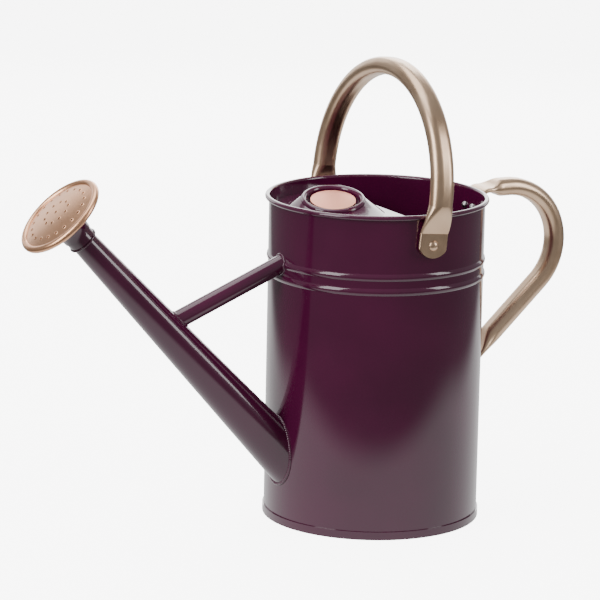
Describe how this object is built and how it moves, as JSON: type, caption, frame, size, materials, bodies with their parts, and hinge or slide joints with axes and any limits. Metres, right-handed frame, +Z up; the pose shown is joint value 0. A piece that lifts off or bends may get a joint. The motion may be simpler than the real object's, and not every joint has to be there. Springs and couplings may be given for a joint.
{
  "type": "watering can",
  "caption": "Tall round metal watering can with a long braced spout, push-on rose, swinging bail over a half-covered mouth and a fixed back handle.",
  "frame": {"origin": "centre of the can's round foot ring, on the floor", "axes": "+Z up the can's axis, spout along -X, back handle along +X, bail pivots on the Y direction"},
  "size_m": [0.4302, 0.1826, 0.333],
  "materials": {
    "purple_gloss_paint": "deep plum gloss enamel on sheet steel",
    "bronze_lacquer": "champagne bronze metallic lacquer on steel tube",
    "brushed_copper": "copper plated steel sheet, satin",
    "zinc_steel": "bright zinc plated steel",
    "rim_wire_steel": "plain drawn steel wire",
    "black_rubber": "matt black rubber",
    "seam_sealant": "grey seam sealant"
  },
  "bodies": {
    "can": {"body_shell": "purple_gloss_paint", "rim_wire": "rim_wire_steel", "base_plate": "purple_gloss_paint", "base_seam_seal": "seam_sealant", "top_cover": "purple_gloss_paint", "cover_badge": "brushed_copper", "badge_stud": "zinc_steel", "badge_clip": "zinc_steel", "spout_tube": "purple_gloss_paint", "spout_weld_bead": "purple_gloss_paint", "spout_brace": "purple_gloss_paint", "brace_weld_beads": "purple_gloss_paint", "bail_rivet_left": "bronze_lacquer", "bail_rivet_right": "bronze_lacquer", "bail_spacer_washers": "zinc_steel", "bail_backing_washers": "zinc_steel", "rear_handle": "bronze_lacquer", "rear_handle_upper_rivets": "zinc_steel", "rear_handle_lower_rivets": "zinc_steel"},
    "bail": {"bail_handle": "bronze_lacquer"},
    "seal": {"rose_seal": "black_rubber"},
    "rose": {"rose_face": "brushed_copper", "rose_back": "purple_gloss_paint", "rose_sleeve": "purple_gloss_paint"}
  },
  "joints": [
    {"name": "bail_swing", "type": "hinge", "parent": "can", "child": "bail", "pos_m": [0, 0, 0.213], "axis": [0, 1, 0], "range_deg": [-105, 66]},
    {"name": "rose_pull", "type": "slide", "parent": "can", "child": "seal", "axis": [-0.6833, 0, 0.7302], "range_m": [0, 0.015]},
    {"name": "rose_twist", "type": "hinge", "parent": "seal", "child": "rose", "pos_m": [-0.2488, 0, 0.23805], "axis": [-0.6833, 0, 0.7302], "continuous": true}
  ]
}
